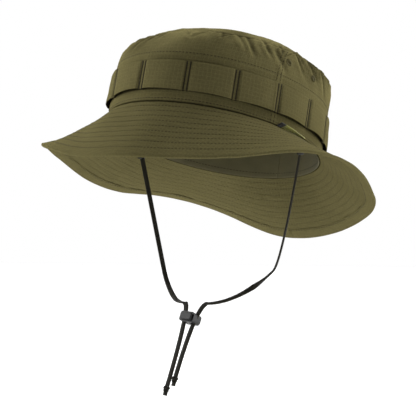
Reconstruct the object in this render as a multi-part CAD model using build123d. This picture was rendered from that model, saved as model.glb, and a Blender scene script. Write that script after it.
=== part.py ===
from build123d import *
import math
import os

# Boonie hat as it sits on a head: cloth crown and brim, a band of branch loops, a sweatband and a chin lace
# with a spring cord lock. Millimetres and degrees. The wearer looks along -Y, +X is the wearer's left and
# +Z is up. The origin is the middle of the head opening, in the plane of the brim seam.
# Cloth pieces are made in the hat's own level frame and then tilted back by WEAR_TILT.
# Round the hat, "turn" is the angle from the front, positive towards the wearer's left.

# ---- driving dimensions: cloth ----
WEAR_TILT = 15.7            # the front of the hat sits higher than the back
CLOTH = 0.45                # shell cloth, one layer
AIR = 0.2                   # gap between layers
LAYER = CLOTH + AIR
THREAD = 0.5                # width of a row of stitching
THREAD_RISE = 0.3           # how far a row stands out of the cloth
TOUCH = 0.05                # gap between a row and its cloth

# ---- driving dimensions: crown ----
BASE_HALF_WIDTH = 86.2      # oval of the brim seam, on the outer face of the wall
BASE_HALF_LENGTH = 105.6
WALL_HEIGHT = 69.5
SIDE_TUCK = 5.2             # how far the shoulder pulls the wall in at its top
FRONT_TUCK = 19.6
BACK_TUCK = 0.6
SHOULDER_POWER = 6          # a high power keeps the wall upright and the shoulder tight
DOME_HEIGHT = 25.0          # rise of the top panel over its rim
SIDE_SEAM_TURN = 67.0       # where the front and back wall panels meet
SEAM_TAPE_HEIGHT = 8.0
EYELETS = ((73.0, 57.0), (93.0, 55.0))             # turn and height of the vents on one side
WALL_ROW_HEIGHTS = (2.5, 43.0)                     # stitch rows over the brim seam and over the loop band

# ---- driving dimensions: loop band ----
BAND_LOW, BAND_HIGH = 9.5, 34.7
BAND_THICKNESS = 1.0
LOOP_COUNT = 15
FRONT_TACK = -7.0           # arc from the front to the tack nearest to it
TACK_GAP = 3.4              # each tack is two rows of stitching
LOOP_STAND_LOW, LOOP_STAND_HIGH = 2.4, 1.5         # how far the middle of a loop stands off the wall

# ---- driving dimensions: brim ----
BRIM_WIDTH = 60.5
BRIM_DROP = 37.7            # mean slope of the brim below the plane of its seam
BRIM_EVEN_WAVES = (11.1, 15.2, 1.5, 3.8, -4.1)     # slope added as cos(turn), cos(2 turn), ...
BRIM_ODD_WAVES = (4.8, -0.5, 4.7, -1.4, -1.8)      # slope added as sin(turn), sin(2 turn), ...
BRIM_FLARE, BRIM_FRONT_FLARE = 6.6, -8.0           # the slope eases by twice this from seam to edge
BRIM_START = 0.6
STEP = 9.0                  # turn between the sections of a brim panel
BRIM_SPLIT_TURN = 90.0      # the brim's cloth layers are seamed at the sides
HEM_WIDTH = 10.0
STITCH_ROWS = 8
FIRST_ROW = 5.5
ROW_PITCH = 5.6

# ---- driving dimensions: sweatband and side tag ----
SWEATBAND_HEIGHT = 32.0
SWEATBAND_THICKNESS = 1.2
SIDE_TAG_TURNS = (72.0, 90.0)
SIDE_TAG_WIDTH = 5.0

# ---- driving dimensions: chin lace and lock, in the worn frame ----
LACE_TUBE = 3.6             # stands for a flat lace about 4.5 wide and 1.6 thick
LACE_SPACING = 5.6          # between the middles of the two tails
TAB_WIDTH, TAB_THICKNESS, TAB_LENGTH = 8.0, 2.0, 7.0
TAB_PIVOT = (82.4, 5.0, -10.5)                     # wearer's left; the right one is its mirror image
CHEEK_POINTS = ((62, 8, -104), (51, -2, -119), (36, -14.5, -131.5), (21, -26.5, -138.5))
LOCK_CENTRE = Vector(0, -38.5, -151.0)
TAIL_DIRECTION = Vector(-0.10, -0.34, -0.935).normalized()
LACE_ENTRY = 13.0           # the tails are straight from this far above the lock's middle
LEFT_TAIL, RIGHT_TAIL = 54.0, 63.0                 # from the lock's middle to the knots
KNOT_RADIUS = 3.6
LOCK_WIDTH, LOCK_HEIGHT = 14.4, 9.0
LOCK_FRONT, LOCK_BACK = 5.1, 7.1                   # the barrel's faces from the lace
LOCK_WALL = 1.2
LACE_HOLE = 4.4
BUTTON_TRAVEL = 1.6
BUTTON_RISE = 2.1
FIT = 0.2                   # clearance of the plunger in the barrel

os.makedirs("parts", exist_ok=True)


def wear(shape):
    """From the hat's level frame to the frame in which it is worn."""
    return shape.rotate(Axis.X, -WEAR_TILT)


def save(name, shape):
    shape.label = name
    export_step(shape, f"parts/{name}.step")


# ---- crown wall surface ----
def crown_oval(height, out):
    """Half width, half length and backward shift of the wall's oval at a height, moved outwards by out."""
    tuck = (height / WALL_HEIGHT) ** SHOULDER_POWER
    half_width = BASE_HALF_WIDTH - SIDE_TUCK * tuck + out
    half_length = BASE_HALF_LENGTH - (FRONT_TUCK + BACK_TUCK) / 2 * tuck + out
    return half_width, half_length, (FRONT_TUCK - BACK_TUCK) / 2 * tuck


def crown_point(turn, height):
    half_width, half_length, shift = crown_oval(height, 0)
    t = math.radians(turn)
    return Vector(half_width * math.sin(t), shift - half_length * math.cos(t), height)


def crown_core(low, high, out):
    """Solid inside the wall's surface between two heights."""
    steps = max(1, round((high - low) / 8))
    faces = []
    for i in range(steps + 1):
        height = low + (high - low) * i / steps
        half_width, half_length, shift = crown_oval(height, out)
        faces.append(Plane((0, shift, height)) * Ellipse(half_width, half_length))
    return loft(faces)


def crown_ring(low, high, inner, outer):
    """Ring that follows the wall between two heights and two distances outwards."""
    return crown_core(low, high, outer) - crown_core(low, high, inner)


def sector(turn):
    """Block of space within a turn to either side of the front."""
    steps = 12
    reach = 3
    corners = [(0, 0)]
    for i in range(steps + 1):
        corner = seam_point(turn * (2 * i / steps - 1)) * reach
        corners.append((corner.X, corner.Y))
    return Pos(0, 0, -WALL_HEIGHT) * extrude(make_face(Polyline(*corners, close=True)), 3 * WALL_HEIGHT)


# ---- seam oval and brim surface ----
def seam_point(turn):
    t = math.radians(turn)
    return Vector(BASE_HALF_WIDTH * math.sin(t), -BASE_HALF_LENGTH * math.cos(t), 0)


def seam_normal(turn):
    t = math.radians(turn)
    return Vector(math.sin(t) / BASE_HALF_WIDTH, -math.cos(t) / BASE_HALF_LENGTH, 0).normalized()


def base_point(turn, height, out):
    """Point out from the wall's outer face, below the shoulder."""
    return seam_point(turn) + seam_normal(turn) * out + Vector(0, 0, height)


def brim_slope(turn):
    t = math.radians(turn)
    even = sum(size * math.cos((n + 1) * t) for n, size in enumerate(BRIM_EVEN_WAVES))
    odd = sum(size * math.sin((n + 1) * t) for n, size in enumerate(BRIM_ODD_WAVES))
    return BRIM_DROP + even + odd


def brim_point(turn, along, out):
    """Point at a distance along the brim from its seam, raised by out over its upper face."""
    slope = brim_slope(turn)
    flare = BRIM_FLARE + BRIM_FRONT_FLARE * math.cos(math.radians(turn))
    chord = math.radians(slope + flare * (1 - along / BRIM_WIDTH))
    tangent = math.radians(slope + flare * (1 - 2 * along / BRIM_WIDTH))
    radial = along * math.cos(chord) + out * math.sin(tangent)
    height = -along * math.sin(chord) + out * math.cos(tangent)
    return base_point(turn, height, radial)


# ---- panels lofted round the hat ----
def side_line(points):
    return Line(*points) if len(points) == 2 else Spline(*points)


def round_panel(section, turns):
    """Panel through the sections at these turns. section(turn) gives the panel's outer and inner points."""
    wires = []
    for turn in turns:
        outer, inner = section(turn)
        back = inner[::-1]
        edges = [side_line(outer), Line(outer[-1], back[0]), side_line(back), Line(back[-1], outer[0])]
        wires.append(Wire(edges))
    return Solid.make_loft(wires)


def even_turns(start, end, step):
    count = math.ceil((end - start) / step)
    return [start + (end - start) * i / count for i in range(count + 1)]


def brim_section(low, high, first, last, count):
    """Section of a brim layer between two heights over the upper face and two distances from the seam."""
    places = [first + (last - first) * i / (count - 1) for i in range(count)]

    def section(turn):
        return [brim_point(turn, s, high) for s in places], [brim_point(turn, s, low) for s in places]

    return section


def brim_halves(high):
    """Front and back halves of a cloth layer whose upper face is at high."""
    section = brim_section(high - CLOTH, high, BRIM_START, BRIM_WIDTH, 4)
    front = round_panel(section, even_turns(-BRIM_SPLIT_TURN, BRIM_SPLIT_TURN, STEP))
    back = round_panel(section, even_turns(BRIM_SPLIT_TURN, 360 - BRIM_SPLIT_TURN, STEP))
    return front, back


def whole_brim_ring(section):
    """Strip round the whole brim, with a butt join at the back."""
    join = 0.15
    return round_panel(section, even_turns(-180 + join, 180 - join, STEP))


# ---- crown ----
def eyelet_planes():
    for turn, height in EYELETS:
        for side in (turn, -turn):
            middle = crown_point(side, height)
            sideways = crown_point(side + 1, height) - middle
            upwards = crown_point(side, height + 1) - middle
            yield Plane(origin=middle, x_dir=sideways, z_dir=sideways.cross(upwards))


EYELET_RADIUS, EYELET_SLEEVE, EYELET_HOLE, EYELET_RIM = 3.3, 1.6, 1.0, 0.5


def eyelet_body():
    """Sewn vent: a rim outside the cloth, a sleeve through it and a rim inside."""
    outer_face = TOUCH * 2
    inner_face = -CLOTH - TOUCH * 3
    body = Pos(0, 0, outer_face) * extrude(Circle(EYELET_RADIUS), EYELET_RIM)
    body += Pos(0, 0, inner_face) * extrude(Circle(EYELET_RADIUS), -EYELET_RIM)
    body += Pos(0, 0, inner_face) * extrude(Circle(EYELET_SLEEVE), outer_face - inner_face)
    body -= Pos(0, 0, inner_face - 1) * extrude(Circle(EYELET_HOLE), 3)
    return body


def build_walls():
    """Front and back wall panels, with a hole for each vent."""
    ring = crown_ring(0, WALL_HEIGHT, -CLOTH, 0)
    for plane in eyelet_planes():
        ring -= plane * Pos(0, 0, -5) * extrude(Circle(EYELET_SLEEVE + TOUCH * 2), 10)
    front = sector(SIDE_SEAM_TURN)
    return ring & front, ring - front


def build_top():
    """Domed oval panel that rests on the wall's top edge."""
    half_width, half_length, shift = crown_oval(WALL_HEIGHT, 0)
    ball = (half_width ** 2 + DOME_HEIGHT ** 2) / (2 * DOME_HEIGHT)
    shell = Pos(0, 0, DOME_HEIGHT - ball) * (Sphere(ball) - Sphere(ball - CLOTH))
    dome = split(shell, Plane.XY, keep=Keep.TOP)
    return Pos(0, shift, WALL_HEIGHT + AIR) * scale(dome, (1, half_length / half_width, 1))


def build_seam_tape():
    return crown_ring(WALL_HEIGHT - SEAM_TAPE_HEIGHT, WALL_HEIGHT - AIR, -LAYER - CLOTH, -LAYER)


def build_side_tapes():
    """Tapes over the raw edges of the two side seams, above the sweatband and below the top tape."""
    half_turn = 2.8
    ring = crown_ring(SWEATBAND_HEIGHT + 2, WALL_HEIGHT - SEAM_TAPE_HEIGHT - 2, -LAYER - CLOTH, -LAYER)
    return ring & (sector(SIDE_SEAM_TURN + half_turn) - sector(SIDE_SEAM_TURN - half_turn))


def build_wall_row(height):
    return crown_ring(height, height + THREAD, TOUCH, TOUCH + THREAD_RISE)


# ---- loop band ----
def arc_table():
    """Arc length of the seam oval from the front, at each half degree up to a full turn."""
    arcs = [0.0]
    for i in range(720):
        arcs.append(arcs[-1] + (seam_point((i + 1) / 2) - seam_point(i / 2)).length)
    return arcs


ARCS = arc_table()
ROUND = ARCS[-1]
LOOP_PITCH = ROUND / LOOP_COUNT


def turn_at(arc):
    """Turn at an arc length from the front, for arcs within one round to either side."""
    wrapped = arc % ROUND
    i = max(n for n, length in enumerate(ARCS[:-1]) if length <= wrapped)
    turn = (i + (wrapped - ARCS[i]) / (ARCS[i + 1] - ARCS[i])) / 2
    return turn if arc >= 0 else turn - 360


def band_face(turn, arc, out):
    """Lower and upper edge of the loop band at an arc, out from the face that rests on the wall."""
    stand = math.sin(math.pi * (arc - FRONT_TACK) / LOOP_PITCH) ** 2
    low = base_point(turn, BAND_LOW, AIR + LOOP_STAND_LOW * stand + out)
    high = base_point(turn, BAND_HIGH, AIR + LOOP_STAND_HIGH * stand + out)
    return [low, high]


def build_loop_band():
    """One strip round the wall, held to it at the tacks. Its ends meet at a tack by the back."""
    steps = 4 * LOOP_COUNT
    start = FRONT_TACK - (LOOP_COUNT // 2) * LOOP_PITCH
    join = 0.1
    wires = []
    for i in range(steps + 1):
        arc = start + join + (ROUND - 2 * join) * i / steps
        turn = turn_at(arc)
        inner, outer = band_face(turn, arc, 0), band_face(turn, arc, BAND_THICKNESS)
        wires.append(Wire(Polyline(*outer, *inner[::-1], close=True).edges()))
    return Solid.make_loft(wires)


def build_bartacks():
    """Two rows of stitching down the band at each tack."""
    rows = []
    for i in range(LOOP_COUNT):
        for side in (-0.5, 0.5):
            arc = FRONT_TACK + (i - LOOP_COUNT // 2) * LOOP_PITCH + side * TACK_GAP
            turn = turn_at(arc)
            low, high = band_face(turn, arc, BAND_THICKNESS + TOUCH * 2)
            up = high - low
            outwards = up.cross(seam_normal(turn).cross(up))
            place = Plane(origin=(low + high) * 0.5, x_dir=up, z_dir=outwards)
            row = Box(up.length - 1, THREAD, THREAD_RISE, align=(Align.CENTER, Align.CENTER, Align.MIN))
            rows.append(place * row)
    return Compound(rows)


# ---- brim ----
def build_hem():
    """Cloth turned round the brim's edge and stitched up under it."""
    outside = BRIM_WIDTH + AIR
    under = -3 * LAYER - AIR

    def section(turn):
        corners = [
            (BRIM_WIDTH - HEM_WIDTH, under),
            (outside, under),
            (outside, 0),
            (outside + CLOTH, 0),
            (outside + CLOTH, under - CLOTH),
            (BRIM_WIDTH - HEM_WIDTH, under - CLOTH),
        ]
        return [brim_point(turn, along, out) for along, out in corners]

    join = 0.15
    turns = even_turns(-180 + join, 180 - join, STEP)
    return Solid.make_loft([Wire(Polyline(*section(turn), close=True).edges()) for turn in turns])


def build_brim_rows():
    """Rows of stitching round the brim's upper face, the last one over the hem."""
    places = [FIRST_ROW + ROW_PITCH * i for i in range(STITCH_ROWS)] + [BRIM_WIDTH - HEM_WIDTH + 1]
    rows = []
    for along in places:
        section = brim_section(TOUCH, TOUCH + THREAD_RISE, along - THREAD / 2, along + THREAD / 2, 2)
        rows.append(whole_brim_ring(section))
    return Compound(rows)


def build_side_tag():
    """Plain woven tag caught in the brim seam on the wearer's left."""
    section = brim_section(TOUCH, TOUCH + CLOTH, BRIM_START, SIDE_TAG_WIDTH, 2)
    return round_panel(section, even_turns(*SIDE_TAG_TURNS, 3))


# ---- sweatband ----
def build_sweatband():
    return crown_ring(AIR * 3, SWEATBAND_HEIGHT, -LAYER - SWEATBAND_THICKNESS, -LAYER)


def build_sweatband_rows():
    inner = -LAYER - SWEATBAND_THICKNESS - TOUCH
    rows = []
    for height in (2.5, SWEATBAND_HEIGHT - 3):
        rows.append(crown_ring(height, height + THREAD, inner - THREAD_RISE, inner))
    return Compound(rows)


# ---- chin lace ----
def build_tab(side):
    """Folded webbing sewn under the brim seam. Its rounded end is where the lace swings."""
    x, y, z = TAB_PIVOT
    plate = Pos(0, 0, TAB_LENGTH / 2) * Box(TAB_THICKNESS, TAB_WIDTH, TAB_LENGTH)
    plate += Rot(0, 90, 0) * Cylinder(TAB_WIDTH / 2, TAB_THICKNESS)
    return Pos(side * x, y, z) * plate


def lock_plane():
    sideways = Vector(1, 0, 0) - TAIL_DIRECTION * TAIL_DIRECTION.X
    return Plane(origin=LOCK_CENTRE, x_dir=sideways, z_dir=TAIL_DIRECTION * -1)


def tail_point(side, down):
    """Point on a tail, this far below the lock's middle."""
    place = lock_plane()
    return place.from_local_coords(Vector(side * LACE_SPACING / 2, 0, -down))


def lace_route(side, tail):
    """Corner points of one strand: down the cheek, in under the jaw, through the lock and down."""
    pivot = Vector(side * TAB_PIVOT[0], TAB_PIVOT[1], TAB_PIVOT[2])
    cheek = [Vector(side * x, y, z) for x, y, z in CHEEK_POINTS]
    down_cheek = (cheek[0] - pivot).normalized()
    start = pivot + down_cheek * (TAB_WIDTH / 2 + AIR)
    return [start, *cheek, tail_point(side, -LACE_ENTRY), tail_point(side, tail)]


def corner_radii(points):
    """Radius of each corner: 0.45 of its shorter run over the tangent of half its turn."""
    radii = []
    for a, b, c in zip(points, points[1:], points[2:]):
        shorter = min((b - a).length, (c - b).length)
        turn = math.radians((b - a).get_angle(c - b))
        radii.append(0.45 * shorter / math.tan(turn / 2))
    return radii


def build_lace(side, tail):
    points = lace_route(side, tail)
    radii = corner_radii(points)
    path = FilletPolyline(*points, radius=radii)
    start = Plane(origin=path @ 0, z_dir=path % 0)
    tube = sweep(start * Circle(LACE_TUBE / 2), path=path)
    section = math.pi * LACE_TUBE ** 2 / 4
    print(f"lace {side:+d}: length {path.length:.1f}, radii {[round(r, 1) for r in radii]},",
          f"volume {tube.volume:.0f}, section x length {section * path.length:.0f}")
    return tube


def build_knot(side, tail, lace):
    """Overhand knot, round the end of its tail."""
    return Pos(*tail_point(side, tail)) * Sphere(KNOT_RADIUS) - lace


# ---- cord lock, made in its own frame: z up along the tails, y to the throat, lace at y = 0 ----
CAVITY_WIDTH = LOCK_WIDTH - 2 * LOCK_WALL
CAVITY_HEIGHT = LOCK_HEIGHT - 2 * LOCK_WALL
SLOT_REACH = LACE_TUBE / 2 + 0.3                   # half the slot across the lace, at rest
PLUNGER_BACK = SLOT_REACH + LOCK_WALL
CAVITY_BACK = LOCK_BACK - LOCK_WALL


def rounded_block(width, front, back, height, rounding):
    block = Pos(0, (back - front) / 2, 0) * Box(width, front + back, height)
    return fillet(block.edges().filter_by(Axis.Y), rounding)


def build_barrel():
    """Housing with two lace holes, open at the front for the plunger."""
    body = rounded_block(LOCK_WIDTH, LOCK_FRONT, LOCK_BACK, LOCK_HEIGHT, 2.6)
    body = fillet(body.faces().sort_by(Axis.Y)[-1].edges(), 1.0)
    body -= rounded_block(CAVITY_WIDTH, LOCK_FRONT + 1, CAVITY_BACK, CAVITY_HEIGHT, 1.6)
    for side in (-1, 1):
        body -= Pos(side * LACE_SPACING / 2, 0, 0) * Cylinder(LACE_HOLE / 2, LOCK_HEIGHT + 2)
    return body


def build_plunger():
    """Button and slide, with one slot through which both tails pass."""
    front = LOCK_FRONT + BUTTON_RISE
    body = rounded_block(CAVITY_WIDTH - 2 * FIT, front, PLUNGER_BACK, CAVITY_HEIGHT - 2 * FIT, 1.4)
    body = fillet(body.faces().sort_by(Axis.Y)[0].edges(), 0.8)
    slot_front = SLOT_REACH + BUTTON_TRAVEL
    slot = rounded_block(LACE_SPACING + 2 * SLOT_REACH, slot_front, SLOT_REACH, LOCK_HEIGHT, 1.0)
    return body - slot


def build_spring():
    """Compression spring between the plunger and the back of the cavity."""
    wire, radius = 0.4, 1.9
    room = CAVITY_BACK - PLUNGER_BACK
    turns_height = room - wire - 2 * AIR
    path = Helix(pitch=turns_height / 2.5, height=turns_height, radius=radius)
    coil = sweep(Plane(origin=path @ 0, z_dir=path % 0) * Circle(wire / 2), path=path, is_frenet=True)
    return Pos(0, PLUNGER_BACK + wire / 2 + AIR, 0) * Rot(-90, 0, 0) * coil


# ---- write every piece ----
wall_front, wall_back = build_walls()
brim_top_front, brim_top_back = brim_halves(0)
brim_under_front, brim_under_back = brim_halves(-2 * LAYER)
interlining = whole_brim_ring(brim_section(-LAYER - CLOTH, -LAYER, BRIM_START, BRIM_WIDTH - 1, 4))
lace_left, lace_right = build_lace(1, LEFT_TAIL), build_lace(-1, RIGHT_TAIL)

hat_pieces = {
    "crown_top": build_top(),
    "crown_wall_front": wall_front,
    "crown_wall_back": wall_back,
    "top_seam_tape": build_seam_tape(),
    "side_seam_tapes": build_side_tapes(),
    "base_stitching": build_wall_row(WALL_ROW_HEIGHTS[0]),
    "wall_stitching": build_wall_row(WALL_ROW_HEIGHTS[1]),
    "vent_eyelets": Compound([plane * eyelet_body() for plane in eyelet_planes()]),
    "loop_band": build_loop_band(),
    "loop_bartacks": build_bartacks(),
    "brim_top_front": brim_top_front,
    "brim_top_back": brim_top_back,
    "brim_interlining": interlining,
    "brim_under_front": brim_under_front,
    "brim_under_back": brim_under_back,
    "brim_hem": build_hem(),
    "brim_stitching": build_brim_rows(),
    "side_tag": build_side_tag(),
    "sweatband": build_sweatband(),
    "sweatband_stitching": build_sweatband_rows(),
}
worn_pieces = {
    "lace_tab_left": build_tab(1),
    "lace_tab_right": build_tab(-1),
    "chin_lace_left": lace_left,
    "chin_lace_right": lace_right,
    "lace_knot_left": build_knot(1, LEFT_TAIL, lace_left),
    "lace_knot_right": build_knot(-1, RIGHT_TAIL, lace_right),
    "lock_barrel": lock_plane() * build_barrel(),
    "lock_plunger": lock_plane() * build_plunger(),
    "lock_spring": lock_plane() * build_spring(),
}
for name, shape in hat_pieces.items():
    save(name, wear(shape))
for name, shape in worn_pieces.items():
    save(name, shape)
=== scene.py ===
import math
import random

import bpy
import numpy as np
from mathutils import Matrix, Vector


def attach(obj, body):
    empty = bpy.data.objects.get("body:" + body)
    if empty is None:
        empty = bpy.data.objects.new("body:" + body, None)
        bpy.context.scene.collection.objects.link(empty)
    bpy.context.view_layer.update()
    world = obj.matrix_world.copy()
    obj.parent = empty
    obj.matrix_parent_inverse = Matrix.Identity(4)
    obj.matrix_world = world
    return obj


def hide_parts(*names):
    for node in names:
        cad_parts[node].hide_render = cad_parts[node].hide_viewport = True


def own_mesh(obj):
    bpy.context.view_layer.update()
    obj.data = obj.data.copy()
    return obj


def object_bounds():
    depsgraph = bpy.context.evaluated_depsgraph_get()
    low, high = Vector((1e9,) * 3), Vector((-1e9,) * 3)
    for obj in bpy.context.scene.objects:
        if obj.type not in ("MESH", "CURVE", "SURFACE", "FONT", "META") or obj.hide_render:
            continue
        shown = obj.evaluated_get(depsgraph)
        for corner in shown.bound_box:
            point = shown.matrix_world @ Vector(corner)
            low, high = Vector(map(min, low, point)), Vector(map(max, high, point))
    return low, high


# Looks of a boonie hat with a chin lace, in metres and degrees. Cloth is worked out in the hat's own level
# frame, where z is up from the brim seam and "turn" is the angle from the front, positive towards the
# wearer's left. wear() then tilts it back as it sits on a head. The worn frame is the CAD frame.

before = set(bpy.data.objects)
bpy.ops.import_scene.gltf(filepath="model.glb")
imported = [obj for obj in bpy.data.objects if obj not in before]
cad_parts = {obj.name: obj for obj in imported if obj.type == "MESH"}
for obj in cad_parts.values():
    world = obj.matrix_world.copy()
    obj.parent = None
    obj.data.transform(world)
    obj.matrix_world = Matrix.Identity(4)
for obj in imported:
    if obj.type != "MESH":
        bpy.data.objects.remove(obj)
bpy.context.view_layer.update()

MM = 0.001

# ---- driving dimensions ----
# They are the CAD model's, but a tack's rows are closer, the loops stand off less, and the looks add the
# sag of the top seam, the fuller brim on the wearer's right and the tag's lean.
WEAR_TILT = 15.7
CLOTH, AIR = 0.45 * MM, 0.2 * MM
LAYER = CLOTH + AIR
BASE_HALF_WIDTH, BASE_HALF_LENGTH = 0.0862, 0.1056
WALL_HEIGHT = 0.0695
SIDE_TUCK, FRONT_TUCK, BACK_TUCK = 0.0052, 0.0196, 0.0006
SHOULDER_POWER = 6
DOME_HEIGHT = 0.025
SIDE_SEAM_TURN = 67.0
SEAM_TAPE_HEIGHT = 0.008
EYELETS = ((73.0, 0.057), (93.0, 0.055))
BASE_ROW_HEIGHT, BAND_ROW_HEIGHT = 0.0025, 0.043
BAND_LOW, BAND_HIGH, BAND_THICKNESS = 0.0095, 0.0347, 0.001
LOOP_COUNT = 15
FRONT_TACK, TACK_GAP = -0.007, 0.0028
LOOP_STAND_LOW, LOOP_STAND_HIGH = 0.0021, 0.0013
BRIM_WIDTH = 0.0605
BRIM_DROP = 37.7
BRIM_EVEN_WAVES = (11.1, 15.2, 1.5, 3.8, -4.1)
BRIM_ODD_WAVES = (4.8, -0.5, 4.7, -1.4, -1.8)
BRIM_FLARE, BRIM_FRONT_FLARE = 6.6, -8.0
RIGHT_FLARE, RIGHT_FLARE_TURN, RIGHT_FLARE_SPREAD = 6.0, -82.0, 34.0
BRIM_SPLIT_TURN = 90.0
HEM_WIDTH = 0.010
STITCH_ROWS, FIRST_ROW, ROW_PITCH = 8, 0.0055, 0.0056
SWEATBAND_HEIGHT, SWEATBAND_THICKNESS = 0.032, 0.0012
SIDE_TAG_TURNS, SIDE_TAG_WIDTH = (72.0, 90.0), 0.005
TAG_FRONT_LEAN, TAG_BACK_LEAN = 46.0, 16.0
TAG_FRONT_SHARE, TAG_BACK_SHARE = 1.35, 0.85        # of SIDE_TAG_WIDTH
TAG_BLACK_LENGTH = 0.0052

TAB_WIDTH, TAB_LENGTH = 0.008, 0.007
TAB_PIVOT = (0.0824, 0.005, -0.0105)
CHEEK_POINTS = (
    (0.062, 0.008, -0.104), (0.051, -0.002, -0.119), (0.036, -0.0145, -0.1315), (0.021, -0.0265, -0.1385)
)
LOCK_CENTRE = Vector((0, -0.0385, -0.151))
TAIL_DIRECTION = Vector((-0.10, -0.34, -0.935)).normalized()
LACE_SPACING, LACE_ENTRY = 0.0056, 0.013
LEFT_TAIL, RIGHT_TAIL = 0.054, 0.063
LACE_WIDTH, LACE_THICKNESS = 0.0045, 0.0016
KNOT_RADIUS = 0.0036

# ---- photograph's viewpoint ----
VIEW_AZIMUTH, VIEW_ELEVATION = 34.11, -2.76
VIEW_DISTANCE = 1.70
VIEW_ANGLE = 12.0
AIM_RIGHT, AIM_UP = -0.00648, -0.0580


def direction(azimuth, elevation):
    """Unit vector out from the hat. Azimuth is from its front, positive towards the wearer's left."""
    a, e = math.radians(azimuth), math.radians(elevation)
    return Vector((math.sin(a) * math.cos(e), -math.cos(a) * math.cos(e), math.sin(e)))


# ---- camera ----
def add_camera():
    back = direction(VIEW_AZIMUTH, VIEW_ELEVATION)
    right = direction(VIEW_AZIMUTH + 90, 0)
    up = back.cross(right)
    data = bpy.data.cameras.new("camera")
    data.sensor_width = 36
    data.lens = data.sensor_width / 2 / math.tan(math.radians(VIEW_ANGLE) / 2)
    data.clip_start, data.clip_end = 0.05, 50
    camera = bpy.data.objects.new("camera", data)
    camera.location = back * VIEW_DISTANCE
    aim = right * AIM_RIGHT + up * AIM_UP
    camera.rotation_euler = (aim - camera.location).to_track_quat("-Z", "Y").to_euler()
    bpy.context.collection.objects.link(camera)
    bpy.context.scene.camera = camera


add_camera()


# ---- material nodes ----
class Shader:
    """A Principled material and short calls to add nodes to it. Sizes in its patterns are in metres."""

    def __init__(self, name, roughness=0.8, sheen=0.0, metallic=0.0, specular=0.5):
        self.material = bpy.data.materials.new(name)
        self.material.use_nodes = True
        self.tree = self.material.node_tree
        self.surface = self.tree.nodes["Principled BSDF"]
        self.surface.inputs["Roughness"].default_value = roughness
        self.surface.inputs["Metallic"].default_value = metallic
        self.surface.inputs["Specular IOR Level"].default_value = specular
        self.surface.inputs["Sheen Weight"].default_value = sheen
        self.surface.inputs["Sheen Roughness"].default_value = 0.45

    def node(self, kind, **inputs):
        made = self.tree.nodes.new(kind)
        for key, value in inputs.items():
            self.feed(made.inputs[key.replace("_", " ")], value)
        return made

    def feed(self, socket, value):
        if isinstance(value, bpy.types.NodeSocket):
            self.tree.links.new(value, socket)
        else:
            socket.default_value = value

    def math(self, operation, a, b=0.0, c=0.0):
        made = self.tree.nodes.new("ShaderNodeMath")
        made.operation = operation
        for socket, value in zip(made.inputs, (a, b, c)):
            self.feed(socket, value)
        return made.outputs[0]

    def cloth_place(self):
        """The two coordinates of a point in the flat cloth, in metres."""
        place = self.node("ShaderNodeUVMap")
        place.uv_map = "cloth"
        parts = self.node("ShaderNodeSeparateXYZ", Vector=place.outputs[0])
        return parts.outputs[0], parts.outputs[1]

    def noise(self, size, detail=3.0):
        """Soft blotches about size across, from 0 to 1, in the object's own space."""
        place = self.node("ShaderNodeTexCoord").outputs["Object"]
        made = self.node("ShaderNodeTexNoise", Vector=place, Scale=1 / size, Detail=detail)
        return made.outputs["Fac"]

    def attribute(self, name):
        made = self.node("ShaderNodeAttribute")
        made.attribute_name = name
        return made.outputs["Fac"]

    def wave(self, place, pitch, phase=0.0):
        """From -1 to 1 and back once in each pitch."""
        return self.math("SINE", self.math("MULTIPLY_ADD", place, math.tau / pitch, phase))

    def from_zero(self, wave):
        """A value from -1 to 1 as one from 0 to 1."""
        return self.math("MULTIPLY_ADD", wave, 0.5, 0.5)

    def line(self, place, pitch, share):
        """1 on a thread that is this share of the pitch wide, 0 between the threads."""
        within = self.math("PINGPONG", place, pitch / 2)
        return self.math("LESS_THAN", within, pitch * share / 2)

    def mix(self, factor, low, high):
        made = self.tree.nodes.new("ShaderNodeMix")
        made.data_type = "RGBA"
        for socket, value in zip((made.inputs[0], made.inputs[6], made.inputs[7]), (factor, low, high)):
            self.feed(socket, value)
        return made.outputs[2]

    def brightness(self, colour, gain):
        """Colour times a number."""
        made = self.tree.nodes.new("ShaderNodeVectorMath")
        made.operation = "SCALE"
        self.feed(made.inputs[0], colour if isinstance(colour, bpy.types.NodeSocket) else colour[:3])
        self.feed(made.inputs["Scale"], gain)
        return made.outputs[0]

    def relief(self, height, depth):
        """Bump of this depth where height goes from 0 to 1."""
        made = self.node("ShaderNodeBump", Height=height, Distance=depth)
        self.tree.links.new(made.outputs[0], self.surface.inputs["Normal"])

    def colour(self, value):
        self.feed(self.surface.inputs["Base Color"], value)


def rgb(red, green, blue):
    return (red, green, blue, 1.0)


OLIVE = rgb(0.086, 0.0752, 0.0315)
OLIVE_LIGHT = rgb(0.110, 0.0965, 0.0425)
WEAVE_PITCH = 0.00055
RIPSTOP_PITCH = 0.0034


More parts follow.
